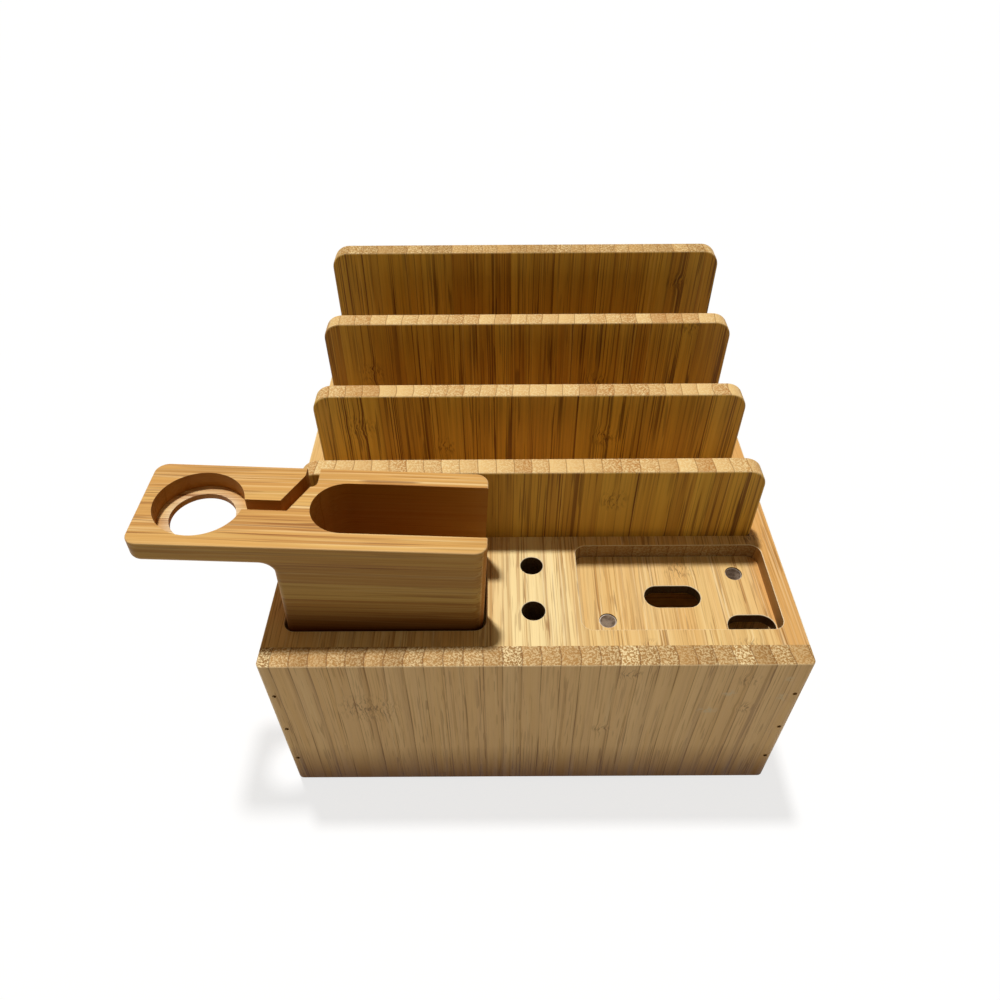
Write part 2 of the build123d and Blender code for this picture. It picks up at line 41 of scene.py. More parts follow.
# An sRGB hex code as the linear colour that a socket takes
def linearColour(code):
    parts = [int(code[n:n + 2], 16) / 255 for n in (0, 2, 4)]
    return [p / 12.92 if p <= 0.04045 else ((p + 0.055) / 1.055) ** 2.4 for p in parts] + [1.0]


# Adds a node; a link is a value, a socket, or a node whose first live output is meant
def addNode(tree, kind, links=None, **settings):
    node = tree.nodes.new(kind)
    for name, value in settings.items():
        setattr(node, name, value)
    for socket, source in (links or {}).items():
        if isinstance(source, bpy.types.Node):
            source = next(output for output in source.outputs if output.enabled)
        if isinstance(source, bpy.types.NodeSocket):
            tree.links.new(source, node.inputs[socket])
        else:
            node.inputs[socket].default_value = source
    return node


def newMaterial(name):
    material = bpy.data.materials.new(name)
    material.use_nodes = True
    material.node_tree.nodes.clear()
    return material, material.node_tree


# Closes a material with its shader; constants go straight on the shader's sockets
def finishMaterial(tree, links):
    shader = addNode(tree, "ShaderNodeBsdfPrincipled", links)
    addNode(tree, "ShaderNodeOutputMaterial", {"Surface": shader})


def dress(material, *names):
    for name in names:
        for slot in nodes[name].material_slots:
            slot.material = material


# Camera, at the height and angle of a person who stands in front of the desk
cameraView = {
    "place": (-0.0126, -0.2680, 0.3343),
    "lens": 27.67,
    "sensor": 36.0,
    "pitchDown": 0.772,
    "yaw": -0.002,
    "roll": 0.007,
    "clip": (0.01, 20),
}


def makeCamera(s):
    pitch, yaw, roll = s["pitchDown"], s["yaw"], s["roll"]
    ahead = Vector((sin(yaw) * cos(pitch), cos(yaw) * cos(pitch), -sin(pitch)))
    right = Vector((cos(yaw), -sin(yaw), 0))
    down = ahead.cross(right)
    axes = (cos(roll) * right + sin(roll) * down, sin(roll) * right - cos(roll) * down, -ahead)
    data = bpy.data.cameras.new("camera")
    data.lens, data.sensor_width = s["lens"], s["sensor"]
    data.clip_start, data.clip_end = s["clip"]
    camera = bpy.data.objects.new("camera", data)
    camera.matrix_world = Matrix.Translation(s["place"]) @ Matrix(axes).transposed().to_4x4()
    bpy.context.scene.collection.objects.link(camera)
    bpy.context.scene.camera = camera


makeCamera(cameraView)
print("camera set")

# Light: one soft lamp nearly overhead, a little behind and to the left, and an even pale room
studio = {
    "lampLevel": 0.90,        # of plain white on a level surface
    "lampAngle": 4.6,
    "lampFrom": (-0.115, 0.237, 1.0),
    "roomLevel": 0.14,
    "roomColour": "FFECC8",
    "backdrop": "FFFFFF",
    "floorColour": "D4CEC2",  # what the floor sends back to the object
    "floorShown": 0.24,       # share of the shown floor that takes light and shade
    "floorLift": 0.77,
    "floorReach": 6.0,
}


# 1 for rays that show the backdrop: to the camera, in a reflection or through glass
def addSeen(tree):
    path = addNode(tree, "ShaderNodeLightPath")
    mirrored = addNode(tree, "ShaderNodeMath", {
        0: path.outputs["Is Camera Ray"], 1: path.outputs["Is Glossy Ray"],
    }, operation="MAXIMUM")
    return addNode(tree, "ShaderNodeMath", {
        0: mirrored, 1: path.outputs["Is Transmission Ray"],
    }, operation="MAXIMUM")


def makeLight(s):
    lamp = bpy.data.lights.new("lamp", "SUN")
    lamp.energy = pi * s["lampLevel"]
    lamp.angle = radians(s["lampAngle"])
    holder = bpy.data.objects.new("lamp", lamp)
    holder.rotation_euler = Vector(s["lampFrom"]).to_track_quat("Z", "Y").to_euler()
    bpy.context.scene.collection.objects.link(holder)
    world = bpy.data.worlds.new("room")
    world.use_nodes = True
    tree = world.node_tree
    tree.nodes.clear()
    room = addNode(tree, "ShaderNodeBackground", {
        "Color": linearColour(s["roomColour"]), "Strength": s["roomLevel"],
    })
    shown = addNode(tree, "ShaderNodeBackground", {"Color": linearColour(s["backdrop"]), "Strength": 1.0})
    mixed = addNode(tree, "ShaderNodeMixShader", {0: addSeen(tree), 1: room, 2: shown})
    addNode(tree, "ShaderNodeOutputWorld", {"Surface": mixed})
    bpy.context.scene.world = world


def makeFloor(s):
    reach = s["floorReach"]
    corners = [(-reach, -reach, 0), (reach, -reach, 0), (reach, reach, 0), (-reach, reach, 0)]
    mesh = bpy.data.meshes.new("floor")
    mesh.from_pydata(corners, [], [(0, 1, 2, 3)])
    floor = bpy.data.objects.new("floor", mesh)
    bpy.context.scene.collection.objects.link(floor)
    material, tree = newMaterial("paper backdrop")
    lift = addNode(tree, "ShaderNodeEmission", {
        "Color": linearColour(s["backdrop"]), "Strength": s["floorLift"],
    })
    matt = addNode(tree, "ShaderNodeBsdfDiffuse", {"Color": [s["floorShown"]] * 3 + [1.0]})
    shown = addNode(tree, "ShaderNodeAddShader", {0: matt, 1: lift})
    sent = addNode(tree, "ShaderNodeBsdfDiffuse", {"Color": linearColour(s["floorColour"])})
    mixed = addNode(tree, "ShaderNodeMixShader", {0: addSeen(tree), 1: sent, 2: shown})
    addNode(tree, "ShaderNodeOutputMaterial", {"Surface": mixed})
    mesh.materials.append(material)


makeLight(studio)
makeFloor(studio)
print("light and floor set")

# Bamboo, planed, sanded and oiled. Strips are glued side by side, so tone, fibres and culm joints
# change from strip to strip. The eye sees long threads on the faces and cream dots on the ends.
# axes names, in order, the way across the strips, through the board and along the fibres.
# Sizes are in millimetres. Real threads are about 0.2 wide; here they are as wide as they need to show.
# A range says where a noise or a slope starts to show, and where it shows whole.
bambooBase = {
    "axes": "XYZ",
    "place": (0, 0, 0),
    "lean": 0.0,
    "stripWidth": 7.3,
    "stripStart": 0.0,
    "stripWander": 1.7,            # how far the edge of a strip strays
    "wanderSize": (45, 12, 130),   # across, through and along
    "layerWidth": 400.0,
    "layerStart": 200.0,
    "fibreJump": (83, 61, 900),    # how far apart two strips were cut from the culm
    "swirl": 1.8,                  # of the fibres round a culm joint
    "swirlSize": 2.2,
    "fineBands": (0.9, 45.0, 2.0),  # width, length and detail
    "wideBands": (1.8, 70.0, 1.0),
    "bandShares": (0.6, 0.8),      # of wide and of fine bands
    "face": ("DEB067", "EDC985", "F6DA9C"),
    "toneSpread": 0.35,
    "warm": "E0A45A",
    "warmShare": 0.30,
    "tints": (),                   # a place as for joints, a colour and its share
    "tintFade": 0.5,
    "layerTints": (),              # number of a layer, a colour and its share
    "cup": "9A6A30",               # darker towards the culm's outside
    "cupShare": 0.20,
    "cupPower": 3.0,
    # width, length, range, colour and share
    "threads": (
        (3.0, 120.0, (0.50, 0.80), "DAA85E", 0.45),
        (0.8, 60.0, (0.60, 0.72), "FCE9BE", 0.40),
        (0.65, 60.0, (0.55, 0.63), "B47C34", 0.62),
        (0.65, 16.0, (0.61, 0.67), "8A561C", 0.60),
    ),
    "crowdSize": (5.0, 75.0),
    "crowdRange": (0.35, 0.60),
    "crowdLeast": 0.25,
    "insideLeast": 0.45,           # share of the threads that the culm's inside keeps
    "joints": (),                  # across, along, half width, half length
    "jointFade": 0.25,
    "jointDash": "6B451C",
    "dashSize": (0.8, 3.2, 1.0),
    "dashRange": (0.50, 0.62),
    "dashShare": 0.6,
    "glue": "94652C",
    "glueWidth": 0.30,
    "glueShare": 0.5,
    "glueBreaks": (2.5, 30.0),
    "glueRange": (0.40, 0.60),
    "scuffs": (),                  # places as for joints
    "scuff": "D9C6A2",
    "scuffFade": 0.3,
    "scuffSize": 1.4,
    "scuffRange": (0.42, 0.56),
    "scuffShare": 0.75,
    "sideShade": "FFFFFF",
    "end": ("B08650", "D2A86C"),
    "endSpread": (0.55, 0.40),     # from strip to strip, and across a strip
    "endDot": "EFD9A8",
    "endDotSize": 0.85,
    "endDotScale": 0.9,
    "endDotBend": 0.8,
    "endDotRange": (0.46, 0.58),
    "creamShares": (0.35, 0.75),
    "coarseStrips": (),            # strips with cream dots throughout
    "coarseLeast": 0.25,
    "endGlue": "7A5022",
    "endGlueShare": 0.85,
    "turnRange": (0.6, 0.8),       # how far a wall turns before it is a side or an end
    "recessShade": "3A1E04",              # painted shade on routed walls, deepest in slots and holes
    "recessShadeBox": None,               # lowest and highest X and Y of the routed part
    "recessShadeShare": 0.48,
    "recessShadeDeep": 0.88,
    "recessShadeDeepBelow": -1000.0,
    "recessShadeHoles": (),               # places as for joints
    "holeFade": 0.95,
    "wallRange": (0.5, 0.2),       # of how far a face is level
    # painted highlight along rounded rims
    "rim": "F8E6C0",
    "rimShare": 0.9,
    "rimRange": (0.15, 0.40),
    "rimWays": (1, 1, 0),          # ways in which a wall may face beside a rounded rim
    "low": "FFFFFF",               # painted shade, darker towards the lower edge
    "lowRange": (30.0, 0.0),
    "roughness": (0.40, 0.58),
    "roughRange": (0.3, 0.7),
    "endRoughness": 0.12,          # more on the ends
    "glueRelief": -0.5,
    "dotRelief": 0.8,
    "reliefStrength": 0.35,
    "reliefDepth": 0.0001,
    "specular": 0.18,
    "seed": 1.0,
}


# Round patches at chosen places on a face, fading towards their edge
def addPatches(tree, flat, places, fade):
    mask = 0.0
    for x, y, halfWidth, halfLength in places:
        scaled = addNode(tree, "ShaderNodeVectorMath", {
            0: flat, 1: (1 / halfWidth, 1 / halfLength, 0), 2: (-x / halfWidth, -y / halfLength, 0),
        }, operation="MULTIPLY_ADD")
        far = addNode(tree, "ShaderNodeVectorMath", {0: scaled}, operation="LENGTH")
        patch = addNode(tree, "ShaderNodeMapRange", {"Value": far, "From Min": 1.0, "From Max": fade})
        mask = addNode(tree, "ShaderNodeMath", {0: patch, 1: mask}, operation="MAXIMUM")
    return mask


# The board's own frame in millimetres, with the strip and the layer at each point of it
def layStrips(tree, s):
    turn = radians(s["lean"])
    ways = {"X": (cos(turn), 0, -sin(turn)), "Y": (0, 1, 0), "Z": (sin(turn), 0, cos(turn))}
    coordinates = addNode(tree, "ShaderNodeTexCoord")
    place = addNode(tree, "ShaderNodeMapping", {
        "Vector": coordinates.outputs["Object"],
        "Location": [v / 1000 for v in s["place"]],
        "Rotation": (0, turn, 0),
        "Scale": (0.001, 0.001, 0.001),
    }, vector_type="TEXTURE")
    parts = addNode(tree, "ShaderNodeSeparateXYZ", {0: place})
    across, through, along = (parts.outputs[axis] for axis in s["axes"])
    flat = addNode(tree, "ShaderNodeCombineXYZ", {0: across, 1: along})

    # Strips wander a little along the board, as hand-fed ones do, and lean through its thickness
    solid = addNode(tree, "ShaderNodeCombineXYZ", {0: across, 1: through, 2: along})
    slow = addNode(tree, "ShaderNodeVectorMath", {
        0: solid, 1: [1 / size for size in s["wanderSize"]],
    }, operation="MULTIPLY")
    wander = addNode(tree, "ShaderNodeTexNoise", {"Vector": slow, "Scale": 1.0, "Detail": 0.0})
    drift = addNode(tree, "ShaderNodeMapRange", {
        "Value": wander,
        "To Min": s["stripStart"] - s["stripWander"],
        "To Max": s["stripStart"] + s["stripWander"],
    })
    shifted = addNode(tree, "ShaderNodeMath", {0: across, 1: drift}, operation="ADD")
    count = addNode(tree, "ShaderNodeMath", {0: shifted, 1: s["stripWidth"]}, operation="DIVIDE")
    strip = addNode(tree, "ShaderNodeMath", {0: count}, operation="FLOOR")
    inStrip = addNode(tree, "ShaderNodeMath", {0: count}, operation="FRACT")
    depth = addNode(tree, "ShaderNodeMath", {0: through, 1: s["layerStart"]}, operation="ADD")
    layerCount = addNode(tree, "ShaderNodeMath", {0: depth, 1: s["layerWidth"]}, operation="DIVIDE")
    layer = addNode(tree, "ShaderNodeMath", {0: layerCount}, operation="FLOOR")
    inLayer = addNode(tree, "ShaderNodeMath", {0: layerCount}, operation="FRACT")
    cell = addNode(tree, "ShaderNodeCombineXYZ", {0: strip, 1: layer, 2: s["seed"]})
    draw = addNode(tree, "ShaderNodeTexWhiteNoise", {"Vector": cell}, noise_dimensions="3D")
    draws = addNode(tree, "ShaderNodeSeparateColor", {0: draw.outputs["Color"]})

    # Every strip has its own stretch of fibre, which swirls at a culm joint
    joints = addPatches(tree, flat, s["joints"], s["jointFade"])
    swirlPlace = addNode(tree, "ShaderNodeVectorMath", {
        0: place, 1: [1 / s["swirlSize"]] * 3,
    }, operation="MULTIPLY")
    swirl = addNode(tree, "ShaderNodeTexNoise", {"Vector": swirlPlace, "Scale": 1.0, "Detail": 0.0})
    swirl = addNode(tree, "ShaderNodeMath", {0: swirl, 1: s["swirl"]}, operation="MULTIPLY")
    swirl = addNode(tree, "ShaderNodeMath", {0: swirl, 1: joints, 2: shifted}, operation="MULTIPLY_ADD")
    jump = addNode(tree, "ShaderNodeVectorMath", {
        0: draw.outputs["Color"], 1: s["fibreJump"],
    }, operation="MULTIPLY")
    fibrePlace = addNode(tree, "ShaderNodeCombineXYZ", {0: swirl, 1: through, 2: along})
    fibre = addNode(tree, "ShaderNodeVectorMath", {0: fibrePlace, 1: jump}, operation="ADD")

    # How far the surface faces across the strips, along the fibres, and up or down
    normal = coordinates.outputs["Normal"]
    facing = {}
    for label, axis in (("side", s["axes"][0]), ("end", s["axes"][2]), ("level", "Z")):
        faced = addNode(tree, "ShaderNodeVectorMath", {0: normal, 1: ways[axis]}, operation="DOT_PRODUCT")
        facing[label] = addNode(tree, "ShaderNodeMath", {0: faced}, operation="ABSOLUTE")
    return {
        "place": place, "height": parts.outputs["Z"], "flat": flat, "through": through,
        "shifted": shifted, "strip": strip, "inStrip": inStrip, "layer": layer, "inLayer": inLayer,
        "tone": draw.outputs["Value"], "cup": draws.outputs[0], "warmth": draws.outputs[1],
        "cream": draws.outputs[2], "joints": joints, "fibre": fibre, "normal": normal, "facing": facing,
    }


# Noise drawn out along the fibres
def addFibreNoise(tree, board, width, length, detail=0.0):
    scaled = addNode(tree, "ShaderNodeVectorMath", {
        0: board["fibre"], 1: (1 / width, 1 / width, 1 / length),
    }, operation="MULTIPLY")
    return addNode(tree, "ShaderNodeTexNoise", {
        "Vector": scaled, "Scale": 1.0, "Detail": detail, "Roughness": 0.6,
    })


# Tone of the long face: its bands, its tints, and the side that was the culm's outside
def addTone(tree, s, board, fine, wide):
    tone = addNode(tree, "ShaderNodeMapRange", {
        "Value": board["tone"],
        "To Min": 0.5 - s["toneSpread"] / 2,
        "To Max": 0.5 + s["toneSpread"] / 2,
    })
    for bands, share in zip((wide, fine), s["bandShares"]):
        tone = addNode(tree, "ShaderNodeMath", {0: bands, 1: share, 2: tone}, operation="MULTIPLY_ADD")
    level = addNode(tree, "ShaderNodeMath", {0: tone, 1: sum(s["bandShares"]) / 2}, operation="SUBTRACT")
    face = addNode(tree, "ShaderNodeValToRGB", {0: level})
    stops = face.color_ramp.elements
    stops[0].color, stops[1].color = linearColour(s["face"][0]), linearColour(s["face"][2])
    stops.new(0.5).color = linearColour(s["face"][1])
    warmth = addNode(tree, "ShaderNodeMath", {0: board["warmth"], 1: s["warmShare"]}, operation="MULTIPLY")
    masks = [(warmth, s["warm"])]
    for place, tint, share in s["tints"]:
        patch = addPatches(tree, board["flat"], (place,), s["tintFade"])
        tinted = addNode(tree, "ShaderNodeMath", {0: patch, 1: share}, operation="MULTIPLY")
        masks.append((tinted, tint))
    for number, tint, share in s["layerTints"]:
        tinted = addNode(tree, "ShaderNodeMath", {
            0: board["layer"], 1: number, 2: 0.1,
        }, operation="COMPARE")
        tinted = addNode(tree, "ShaderNodeMath", {0: tinted, 1: share}, operation="MULTIPLY")
        masks.append((tinted, tint))
    cup = addNode(tree, "ShaderNodeMath", {0: board["inStrip"], 1: s["cupPower"]}, operation="POWER")
    cupShare = addNode(tree, "ShaderNodeMath", {
        0: board["cup"], 1: 2 * s["cupShare"],
    }, operation="MULTIPLY")
    cup = addNode(tree, "ShaderNodeMath", {0: cup, 1: cupShare}, operation="MULTIPLY")
    masks.append((cup, s["cup"]))
    for mask, tint in masks:
        face = addNode(tree, "ShaderNodeMix", {0: mask, 6: face, 7: linearColour(tint)}, data_type="RGBA")
    return face


# Threads, which crowd in some places and towards the side of the strip that was the culm's outside
def addThreads(tree, s, board, face):
    crowd = addFibreNoise(tree, board, *s["crowdSize"])
    start, full = s["crowdRange"]
    crowd = addNode(tree, "ShaderNodeMapRange", {
        "Value": crowd, "From Min": start, "From Max": full, "To Min": s["crowdLeast"],
    })
    outside = addNode(tree, "ShaderNodeMapRange", {
        "Value": board["inStrip"], "To Min": s["insideLeast"], "To Max": 1.0,
    })
    crowd = addNode(tree, "ShaderNodeMath", {0: crowd, 1: outside}, operation="MULTIPLY")
    for width, length, (start, full), colour, share in s["threads"]:
        thread = addNode(tree, "ShaderNodeMapRange", {
            "Value": addFibreNoise(tree, board, width, length),
            "From Min": start, "From Max": full, "To Max": share,
        })
        thread = addNode(tree, "ShaderNodeMath", {0: thread, 1: crowd}, operation="MULTIPLY")
        face = addNode(tree, "ShaderNodeMix", {
            0: thread, 6: face, 7: linearColour(colour),
        }, data_type="RGBA")

    # Culm joints break the threads into short dark dashes
    if s["joints"]:
        start, full = s["dashRange"]
        dashes = addNode(tree, "ShaderNodeMapRange", {
            "Value": addFibreNoise(tree, board, *s["dashSize"]),
            "From Min": start, "From Max": full, "To Max": s["dashShare"],
        })
        dashes = addNode(tree, "ShaderNodeMath", {0: dashes, 1: board["joints"]}, operation="MULTIPLY")
        face = addNode(tree, "ShaderNodeMix", {
            0: dashes, 6: face, 7: linearColour(s["jointDash"]),
        }, data_type="RGBA")
    return face


# Glue lines, between strips and between layers: 1 in their middle, 0 beside them
def addGlueLines(tree, s, board):
    lines = []
    for place, width in (("inStrip", s["stripWidth"]), ("inLayer", s["layerWidth"])):
        near = addNode(tree, "ShaderNodeMath", {0: board[place], 1: 0.5}, operation="PINGPONG")
        lines.append(addNode(tree, "ShaderNodeMapRange", {
            "Value": near, "From Min": s["glueWidth"] / width, "From Max": 0.0,
        }))
    return lines[0], addNode(tree, "ShaderNodeMath", {0: lines[0], 1: lines[1]}, operation="MAXIMUM")


# Glue that shows in one stretch and not in the next, and pale scuffs from handling
def addWear(tree, s, board, line, face):
    start, full = s["glueRange"]
    lineShare = addNode(tree, "ShaderNodeMapRange", {
        "Value": addFibreNoise(tree, board, *s["glueBreaks"]),
        "From Min": start, "From Max": full, "To Max": s["glueShare"],
    })
    lineMask = addNode(tree, "ShaderNodeMath", {0: line, 1: lineShare}, operation="MULTIPLY")
    face = addNode(tree, "ShaderNodeMix", {
        0: lineMask, 6: face, 7: linearColour(s["glue"]),
    }, data_type="RGBA")
    if s["scuffs"]:
        scuffPlace = addNode(tree, "ShaderNodeVectorMath", {
            0: board["place"], 1: [1 / s["scuffSize"]] * 3,
        }, operation="MULTIPLY")
        ragged = addNode(tree, "ShaderNodeTexNoise", {"Vector": scuffPlace, "Scale": 1.0, "Detail": 3.0})
        start, full = s["scuffRange"]
        ragged = addNode(tree, "ShaderNodeMapRange", {
            "Value": ragged, "From Min": start, "From Max": full, "To Max": s["scuffShare"],
        })
        patches = addPatches(tree, board["flat"], s["scuffs"], s["scuffFade"])
        scuffs = addNode(tree, "ShaderNodeMath", {0: ragged, 1: patches}, operation="MULTIPLY")
        face = addNode(tree, "ShaderNodeMix", {
            0: scuffs, 6: face, 7: linearColour(s["scuff"]),
        }, data_type="RGBA")
    return face


# End grain: cream bundles cut across, finer and darker towards one side of each strip
def addEnds(tree, s, board, stripLine):
    cut = addNode(tree, "ShaderNodeCombineXYZ", {0: board["shifted"], 1: board["through"]})
    cutPlace = addNode(tree, "ShaderNodeVectorMath", {
        0: cut, 1: [1 / s["endDotSize"]] * 3,
    }, operation="MULTIPLY")
    bundles = addNode(tree, "ShaderNodeTexNoise", {
        "Vector": cutPlace, "Scale": s["endDotScale"], "Detail": 1.0, "Distortion": s["endDotBend"],
    })
    start, full = s["endDotRange"]
    dots = addNode(tree, "ShaderNodeMapRange", {"Value": bundles, "From Min": start, "From Max": full})
    coarse = s["coarseLeast"]
    for number in s["coarseStrips"]:
        chosen = addNode(tree, "ShaderNodeMath", {
            0: board["strip"], 1: number, 2: 0.1,
        }, operation="COMPARE")
        coarse = addNode(tree, "ShaderNodeMath", {0: chosen, 1: coarse}, operation="MAXIMUM")
    creamShare = addNode(tree, "ShaderNodeMapRange", {
        "Value": board["cream"], "To Min": s["creamShares"][0], "To Max": s["creamShares"][1],
    })
    creamShare = addNode(tree, "ShaderNodeMath", {0: creamShare, 1: coarse}, operation="MAXIMUM")
    creamMask = addNode(tree, "ShaderNodeMath", {0: creamShare, 1: dots}, operation="MULTIPLY")
    perStrip, acrossStrip = s["endSpread"]
    level = addNode(tree, "ShaderNodeMath", {0: board["inStrip"], 1: acrossStrip}, operation="MULTIPLY")
    level = addNode(tree, "ShaderNodeMath", {
        0: board["cup"], 1: perStrip, 2: level,
    }, operation="MULTIPLY_ADD")
    end = addNode(tree, "ShaderNodeMix", {
        0: level, 6: linearColour(s["end"][1]), 7: linearColour(s["end"][0]),
    }, data_type="RGBA")
    line = addNode(tree, "ShaderNodeMath", {0: stripLine, 1: s["endGlueShare"]}, operation="MULTIPLY")
    for mask, tint in ((creamMask, s["endDot"]), (line, s["endGlue"])):
        end = addNode(tree, "ShaderNodeMix", {0: mask, 6: end, 7: linearColour(tint)}, data_type="RGBA")
    return end, dots


# Painted shade on routed walls, deepest in the slots and holes
def addRecessShade(tree, s, board, colour):
    (left, near), (right, far) = s["recessShadeBox"]
    middle = ((left + right) / 2, (near + far) / 2, 0)
    inside = addNode(tree, "ShaderNodeVectorMath", {0: board["place"], 1: middle}, operation="SUBTRACT")
    inside = addNode(tree, "ShaderNodeVectorMath", {0: inside}, operation="ABSOLUTE")
    inside = addNode(tree, "ShaderNodeSeparateXYZ", {0: inside})
    start, full = s["wallRange"]
    wall = addNode(tree, "ShaderNodeMapRange", {
        "Value": board["facing"]["level"], "From Min": start, "From Max": full,
    })
    for axis, reach in (("X", (right - left) / 2), ("Y", (far - near) / 2)):
        mask = addNode(tree, "ShaderNodeMath", {0: inside.outputs[axis], 1: reach}, operation="LESS_THAN")
        wall = addNode(tree, "ShaderNodeMath", {0: wall, 1: mask}, operation="MULTIPLY")
    # Deeper painted shade below the dock floor and in the pen holes
    deep = addNode(tree, "ShaderNodeMath", {
        0: board["height"], 1: s["recessShadeDeepBelow"],
    }, operation="LESS_THAN")
    holes = addPatches(tree, board["flat"], s["recessShadeHoles"], s["holeFade"])
    deep = addNode(tree, "ShaderNodeMath", {0: deep, 1: holes}, operation="MAXIMUM")
    share = addNode(tree, "ShaderNodeMapRange", {
        "Value": deep, "To Min": s["recessShadeShare"], "To Max": s["recessShadeDeep"],
    })
    share = addNode(tree, "ShaderNodeMath", {0: share, 1: wall}, operation="MULTIPLY")
    return addNode(tree, "ShaderNodeMix", {
        0: share, 6: colour, 7: linearColour(s["recessShade"]),
    }, data_type="RGBA")


# Painted highlight on rims, where the surface turns from level to upright, and painted shade darker towards
# the lower edge
def addEdges(tree, s, board, colour):
    sideways = addNode(tree, "ShaderNodeVectorMath", {
        0: board["normal"], 1: s["rimWays"],
    }, operation="MULTIPLY")
    sideways = addNode(tree, "ShaderNodeVectorMath", {0: sideways}, operation="LENGTH")
    turning = addNode(tree, "ShaderNodeMath", {
        0: sideways, 1: board["facing"]["level"],
    }, operation="MULTIPLY")
    start, full = s["rimRange"]
    # Painted highlight along the rounded rims
    rim = addNode(tree, "ShaderNodeMapRange", {
        "Value": turning, "From Min": start, "From Max": full, "To Max": s["rimShare"],
    })
    colour = addNode(tree, "ShaderNodeMix", {
        0: rim, 6: colour, 7: linearColour(s["rim"]),
    }, data_type="RGBA")
    # Painted shade, darker towards the lower edge
    start, full = s["lowRange"]
    lowMask = addNode(tree, "ShaderNodeMapRange", {
        "Value": board["height"], "From Min": start, "From Max": full,
    })
    return addNode(tree, "ShaderNodeMix", {
        0: lowMask, 6: colour, 7: linearColour(s["low"]),
    }, data_type="RGBA", blend_type="MULTIPLY")


def makeBamboo(name, look):
    s = bambooBase | look
    material, tree = newMaterial(name)
    board = layStrips(tree, s)
    fine = addFibreNoise(tree, board, *s["fineBands"])
    wide = addFibreNoise(tree, board, *s["wideBands"])
    stripLine, line = addGlueLines(tree, s, board)
    face = addTone(tree, s, board, fine, wide)
    face = addThreads(tree, s, board, face)
    face = addWear(tree, s, board, line, face)
    end, dots = addEnds(tree, s, board, stripLine)
    start, full = s["turnRange"]
    sideMask, endMask = (addNode(tree, "ShaderNodeMapRange", {
        "Value": board["facing"][label], "From Min": start, "From Max": full,
    }) for label in ("side", "end"))
    # Faces across the strips are multiplied by sideShade; on the stand this is partly the edge grain's
    # tone, partly painted shade
    face = addNode(tree, "ShaderNodeMix", {
        0: sideMask, 6: face, 7: linearColour(s["sideShade"]),
    }, data_type="RGBA", blend_type="MULTIPLY")
    colour = addNode(tree, "ShaderNodeMix", {0: endMask, 6: face, 7: end}, data_type="RGBA")
    # Painted shade on the walls of routed recesses
    if s["recessShadeBox"]:
        colour = addRecessShade(tree, s, board, colour)
    colour = addEdges(tree, s, board, colour)

    # Satin oil finish, a little rougher where fibres are open
    start, full = s["roughRange"]
    rough = addNode(tree, "ShaderNodeMapRange", {
        "Value": wide, "From Min": start, "From Max": full,
        "To Min": s["roughness"][0], "To Max": s["roughness"][1],
    })
    rough = addNode(tree, "ShaderNodeMath", {
        0: endMask, 1: s["endRoughness"], 2: rough,
    }, operation="MULTIPLY_ADD")
    relief = addNode(tree, "ShaderNodeMath", {0: fine, 1: wide}, operation="ADD")
    pits = addNode(tree, "ShaderNodeMath", {0: dots, 1: endMask}, operation="MULTIPLY")
    for height, share in ((line, s["glueRelief"]), (pits, s["dotRelief"])):
        relief = addNode(tree, "ShaderNodeMath", {0: height, 1: share, 2: relief}, operation="MULTIPLY_ADD")
    bump = addNode(tree, "ShaderNodeBump", {
        "Height": relief, "Strength": s["reliefStrength"], "Distance": s["reliefDepth"],
    })
    finishMaterial(tree, {
        "Base Color": colour, "Roughness": rough, "Normal": bump, "Specular IOR Level": s["specular"],
    })
    return material


topBoardLook = {
    "axes": "XZY", "stripWidth": 7.5, "stripStart": 1.2, "seed": 2.0,
    "joints": ((63, -53, 8, 7), (95, -41, 7, 5), (44, -98, 5, 5), (82, -97, 7, 4), (-30, 20, 6, 6)),
    "tints": (((101, 0, 9, 500), "D9994C", 0.62), ((0, -70, 22, 60), "FFE9AC", 0.75)),
    # Painted shade on the dock walls, deepest in the slots and the pen holes
    "recessShadeBox": ((-104.4, -104.4), (104.4, 104.4)),
    "recessShadeDeepBelow": 82.3,
    "recessShadeHoles": ((0, -80.1, 5.6, 5.6), (0, -56.5, 5.6, 5.6)),  # the pen holes
}
panelLook = {
    "stripStart": 12.6, "seed": 5.0, "rimWays": (0, 1, 0), "rimShare": 0.2,
    "face": ("D5AC71", "E5C28B", "EFD0A0"), "toneSpread": 0.25, "bandShares": (0.4, 0.5),
    "warm": "D4A86A", "warmShare": 0.2, "cup": "9A7030", "cupShare": 0.26,
    "glue": "7A4E18", "glueShare": 0.9, "glueWidth": 0.36,
    "threads": (
        (3.0, 90.0, (0.50, 0.80), "C6984E", 0.35),
        (0.8, 60.0, (0.62, 0.74), "F2D8A4", 0.30),
        (0.65, 60.0, (0.60, 0.66), "8A5E22", 0.50),
        (0.65, 14.0, (0.63, 0.68), "7A4E18", 0.45),
    ),
    "end": ("946A34", "C09254"), "endDot": "F2D9A4", "endDotSize": 0.72, "coarseStrips": (-13, 0, 6, 12),
    "joints": ((-66, 61, 15, 12), (36, 84, 6, 4), (82, 80, 6, 5), (84, 60, 5, 5), (28, 44, 5, 4)),
    "scuffs": (
        (75.9, 70.8, 3.4, 2.8), (69.6, 58.3, 5.0, 3.0), (97.2, 80.5, 2.0, 2.0), (97.3, 67.7, 2.6, 3.6),
    ),
    # painted shade towards the panel's lower edge
    "low": "A27C0A",
}
sidePanelLook = {
    "axes": "YXZ", "seed": 7.0, "rimWays": (1, 0, 0),
    "joints": ((30, 40, 8, 6), (-55, 66, 9, 6)),
    # painted shade towards the panel's lower edge
    "low": "C0A880",
}
